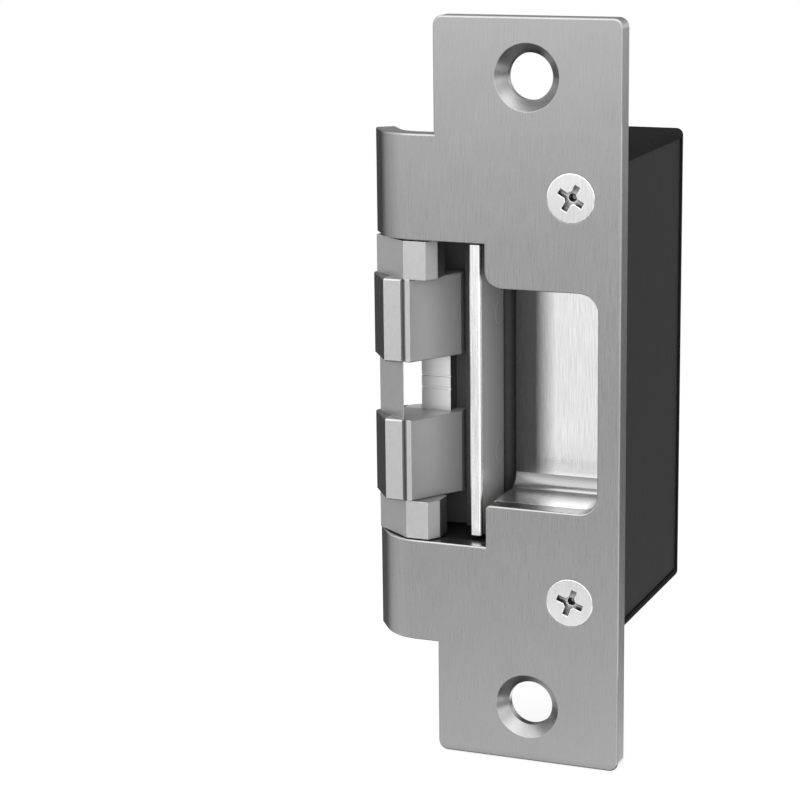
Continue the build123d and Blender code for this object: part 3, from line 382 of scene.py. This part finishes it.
def moulded(name, colour, roughness):
    """Moulded plastic or rubber with a faint matt texture."""
    s = Shader(name)
    grain = s.noise(3500.0, detail=3.0)
    tone = s.noise(160.0, detail=2.0)
    darker = tuple(part * 0.85 for part in colour)
    s.link(s.mix(s.ramp(tone, 0.35, 0.7), colour, darker), s.bsdf.inputs["Base Color"])
    s.link(s.ramp(grain, 0.3, 0.7, roughness - 0.06, roughness + 0.06), s.bsdf.inputs["Roughness"])
    s.bump(grain, 0.1, 0.02 * MM)
    return s.material


def wound_copper(name):
    """Enamelled winding: fine turns round an upright axis."""
    s = Shader(name)
    wave = s.node("ShaderNodeTexWave", wave_type="BANDS", bands_direction="Z", wave_profile="SIN")
    wave.inputs["Scale"].default_value = 1500.0
    s.link(s.coords, wave.inputs["Vector"])
    s.link(s.mix(wave.outputs["Fac"], (0.30, 0.09, 0.03), (0.80, 0.36, 0.16)), s.bsdf.inputs["Base Color"])
    s.set("Metallic", 0.9)
    s.link(s.ramp(wave.outputs["Fac"], 0.0, 1.0, 0.45, 0.25), s.bsdf.inputs["Roughness"])
    s.bump(wave.outputs["Fac"], 0.5, 0.1 * MM)
    return s.material


MATERIALS = {
    "satin_stainless": lambda: brushed("satin_stainless", 0.303, 0.28, contrast=0.03, relief=0.05,
                                       shade_mask=faceplate_painted_light_and_shade),
    "chrome_screw": lambda: brushed("chrome_screw", 0.82, 0.18, contrast=0.03, shade_mask=painted_recess_shade),
    "black_case": lambda: painted("black_case", 0.007, 0.75, specular=0.015),
    "black_cover": lambda: painted("black_cover", 0.010, 0.6, specular=0.07),
    "zinc_screw": lambda: brushed("zinc_screw", 0.70, 0.24),
    "drawn_steel": lambda: brushed("drawn_steel", 0.88, 0.24, shade_mask=pocket_painted_light_and_shade),
    "keeper_metal": lambda: brushed("keeper_metal", 0.42, 0.36, grain=(1, 1, 1), grain_scale=1800.0,
                                    contrast=0.03, relief=0.03, shade_mask=keeper_painted_light_and_shade),
    "hardened_steel": lambda: brushed("hardened_steel", 0.95, 0.22, shade_mask=bearing_painted_side_shade),
    "ground_steel": lambda: brushed("ground_steel", 0.74, 0.22),
    # The keeper's carrier is painted near black, which also stands in for the deep shade behind the
    # keeper's face.
    "black_carrier": lambda: painted("black_carrier", 0.02, 0.55),
    "spring_steel": lambda: brushed("spring_steel", 0.60, 0.22),
    "bronze": lambda: brushed("bronze", 0.70, 0.40, tint=(0.95, 0.66, 0.34)),
    "black_rubber": lambda: moulded("black_rubber", grey(0.02), 0.75),
    "zinc_plated_iron": lambda: brushed("zinc_plated_iron", 0.66, 0.30, tint=(1.0, 1.0, 0.97)),
    "white_nylon": lambda: moulded("white_nylon", (0.82, 0.80, 0.73), 0.45),
    "copper_wire": lambda: wound_copper("copper_wire"),
    "yellow_tape": lambda: moulded("yellow_tape", (0.75, 0.52, 0.06), 0.25),
    "lever_steel": lambda: brushed("lever_steel", 0.55, 0.36, grain=(1, 1, 1), grain_scale=2500.0),
    "green_laminate": lambda: moulded("green_laminate", (0.02, 0.16, 0.06), 0.3),
    "ivory_plastic": lambda: moulded("ivory_plastic", (0.80, 0.75, 0.60), 0.4),
    "tinned_brass": lambda: brushed("tinned_brass", 0.80, 0.22, tint=(1.0, 0.93, 0.74)),
    "blue_plastic": lambda: moulded("blue_plastic", (0.04, 0.11, 0.36), 0.4),
    "capacitor_sleeve": lambda: moulded("capacitor_sleeve", (0.03, 0.035, 0.06), 0.3),
    "red_insulation": lambda: moulded("red_insulation", (0.55, 0.03, 0.02), 0.4),
}


def dress_nodes():
    """Gives every CAD node the material of its slot."""
    made = {}
    for entry in frame["record"]["subparts"]:
        slot = entry["material_slot"]
        if slot not in made:
            made[slot] = MATERIALS[slot]()
        mesh = nodes[entry["node"]].data
        mesh.materials.clear()
        mesh.materials.append(made[slot])


# ---------------------------------------------------------------- springs

def spring_piece(name, node):
    """A spring with the CAD spring's own shape, in place of the CAD node, which is hidden."""
    spring = bpy.data.objects.new(name, nodes[node].data.copy())
    bpy.context.scene.collection.objects.link(spring)
    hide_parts(node)
    return spring


def add_keeper_spring():
    """The keeper's torsion spring, as a copy of the CAD spring with its place baked into its mesh."""
    spring = spring_piece("wound_torsion_spring", "keeper_torsion_spring")
    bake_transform(spring)


def add_plunger_spring():
    """The plunger's return spring, as a copy of the CAD spring carried by the strike's body."""
    spring = spring_piece("pressed_plunger_spring", "plunger_spring")
    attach(spring, "strike")
    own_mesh(spring)


# ---------------------------------------------------------------- camera, floor and light

def add_camera():
    azimuth = math.radians(CAMERA_AZIMUTH)
    elevation = math.radians(CAMERA_ELEVATION)
    roll = math.radians(CAMERA_ROLL)
    back = Vector((math.sin(azimuth) * math.cos(elevation),
                   -math.cos(azimuth) * math.cos(elevation),
                   math.sin(elevation)))
    right = (-back).cross(Vector((0, 0, 1))).normalized()
    up = right.cross(-back)
    turned_right = math.cos(roll) * right + math.sin(roll) * up
    turned_up = -math.sin(roll) * right + math.cos(roll) * up
    rotation = Matrix((turned_right, turned_up, back)).transposed()
    data = bpy.data.cameras.new("camera")
    data.lens = CAMERA_LENS
    data.sensor_width = SENSOR
    data.clip_start = CAMERA_NEAR
    data.clip_end = CAMERA_FAR
    camera = bpy.data.objects.new("camera", data)
    camera.matrix_world = Matrix.Translation(CAMERA_TARGET + back * CAMERA_DISTANCE) @ rotation.to_4x4()
    bpy.context.scene.collection.objects.link(camera)
    bpy.context.scene.camera = camera


def add_floor():
    """A wide white floor, level with the faceplate's lower end, with only a faint shadow."""
    z = cad_box[0][2] - FLOOR_GAP
    mesh = bpy.data.meshes.new("floor")
    corners = [(x * FLOOR_HALF, y * FLOOR_HALF, z) for x, y in ((-1, -1), (1, -1), (1, 1), (-1, 1))]
    mesh.from_pydata(corners, [], [(0, 1, 2, 3)])
    floor = bpy.data.objects.new("floor", mesh)
    bpy.context.scene.collection.objects.link(floor)
    mesh.materials.append(floor_material())
    floor.visible_glossy = False


def floor_material():
    """White paint, which the camera sees as plain white away from the part."""
    s = Shader("floor")
    s.link(s.mix(s.noise(6.0), grey(0.90), grey(0.92)), s.bsdf.inputs["Base Color"])
    s.set("Roughness", 0.9)
    s.set("Specular IOR Level", 0.0)
    glow = s.node("ShaderNodeEmission")
    glow.inputs["Color"].default_value = (1.0, 1.0, 1.0, 1.0)
    distance = s.node("ShaderNodeVectorMath", operation="LENGTH")
    s.link(s.coords, distance.inputs[0])
    seen = s.node("ShaderNodeLightPath").outputs["Is Camera Ray"]
    amount = s.ramp(distance.outputs["Value"], *FLOOR_RING, 0.82, 1.0)
    blend = s.node("ShaderNodeMixShader")
    s.link(s.math("MULTIPLY", seen, amount), blend.inputs["Fac"])
    s.link(s.bsdf.outputs["BSDF"], blend.inputs[1])
    s.link(glow.outputs["Emission"], blend.inputs[2])
    s.link(blend.outputs["Shader"], s.tree.nodes["Material Output"].inputs["Surface"])
    return s.material


class Studio:
    """The light around the part: its strength is worked out from the direction that it comes from."""

    def __init__(self, tree):
        self.tree = tree
        split = tree.nodes.new("ShaderNodeSeparateXYZ")
        tree.links.new(tree.nodes.new("ShaderNodeTexCoord").outputs["Generated"], split.inputs[0])
        self.across, self.along, self.upward = split.outputs
        self.strength = None

    def ramp(self, value, low, high, low_value, high_value):
        made = self.tree.nodes.new("ShaderNodeMapRange")
        settings = {"From Min": low, "From Max": high, "To Min": low_value, "To Max": high_value}
        for name, number in settings.items():
            made.inputs[name].default_value = number
        self.tree.links.new(value, made.inputs["Value"])
        return made.outputs["Result"]

    def combine(self, operation, first, second):
        made = self.tree.nodes.new("ShaderNodeMath")
        made.operation = operation
        self.tree.links.new(first, made.inputs[0])
        self.tree.links.new(second, made.inputs[1])
        return made.outputs[0]

    def add(self, lobe, within=None):
        """Adds a lobe of light, which may be kept within a mask."""
        if within is not None:
            lobe = self.combine("MULTIPLY", lobe, within)
        self.strength = lobe if self.strength is None else self.combine("ADD", self.strength, lobe)

    def scale(self, factor):
        self.strength = self.combine("MULTIPLY", self.strength, factor)


def light_studio(studio):
    """Each ramp runs over one part of the direction: across to the right, along to the back, and upward."""
    across, along, upward = studio.across, studio.along, studio.upward
    ramp = studio.ramp
    # Dim behind the part, brighter beside it and brightest in front
    studio.add(ramp(along, 0.60, 0.10, 0.02, 0.46))
    studio.add(ramp(along, 0.10, -0.90, 0.0, 0.54))
    # More from the right, and a little more from above the horizon
    studio.add(ramp(across, -0.05, 0.30, 0.0, 0.55))
    studio.add(ramp(upward, -0.02, 0.10, 0.0, 0.22))
    # A dim band just below the horizon, with a bright band over it and another under it
    over = ramp(upward, -0.17, -0.04, 0.46, 2.05)
    under = ramp(upward, -0.29, -0.42, 0.46, 2.20)
    studio.scale(studio.combine("MAXIMUM", over, under))
    studio.scale(ramp(upward, 0.08, 0.22, 1.0, 0.62))
    # Almost nothing from far below
    studio.scale(ramp(upward, -0.50, -0.66, 1.0, 0.04))
    # The ceiling, and a weak fill from the left
    studio.add(ramp(upward, 0.50, 0.75, 0.0, 1.1))
    studio.add(ramp(across, -0.45, -0.80, 0.0, 0.28), within=ramp(along, 0.55, 0.25, 0.0, 1.0))
    # A low fill for the back of the part, and the bright floor in front of it
    studio.add(ramp(along, 0.45, 0.70, 0.0, 1.5), within=ramp(upward, -0.34, -0.46, 0.0, 1.0))
    studio.add(ramp(along, -0.10, -0.40, 0.0, 0.9), within=ramp(upward, -0.62, -0.74, 0.0, 1.0))


def add_world():
    """White behind the object, and for the light on it a soft studio: bright in front, dim behind."""
    world = bpy.data.worlds.new("studio")
    world.use_nodes = True
    tree = world.node_tree
    studio = Studio(tree)
    light_studio(studio)
    background = tree.nodes["Background"]
    seen = tree.nodes.new("ShaderNodeLightPath").outputs["Is Camera Ray"]
    tree.links.new(studio.combine("MAXIMUM", studio.strength, seen), background.inputs["Strength"])
    background.inputs["Color"].default_value = (1.0, 1.0, 1.0, 1.0)
    bpy.context.scene.world = world


def add_key_light():
    """One soft light from the upper left of the front."""
    data = bpy.data.lights.new("key", "AREA")
    data.shape = "RECTANGLE"
    data.size, data.size_y = KEY_SIDES
    data.energy = KEY_POWER
    light = bpy.data.objects.new("key", data)
    light.location = KEY_PLACE
    light.rotation_euler = (-Vector(KEY_PLACE)).to_track_quat("-Z", "Y").to_euler()
    light.visible_camera = False
    bpy.context.scene.collection.objects.link(light)


def main():
    dress_nodes()
    add_keeper_spring()
    add_plunger_spring()
    add_camera()
    add_floor()
    add_world()
    add_key_light()
    scene = bpy.context.scene
    scene.view_settings.view_transform = "Standard"
    scene.view_settings.look = "None"


main()
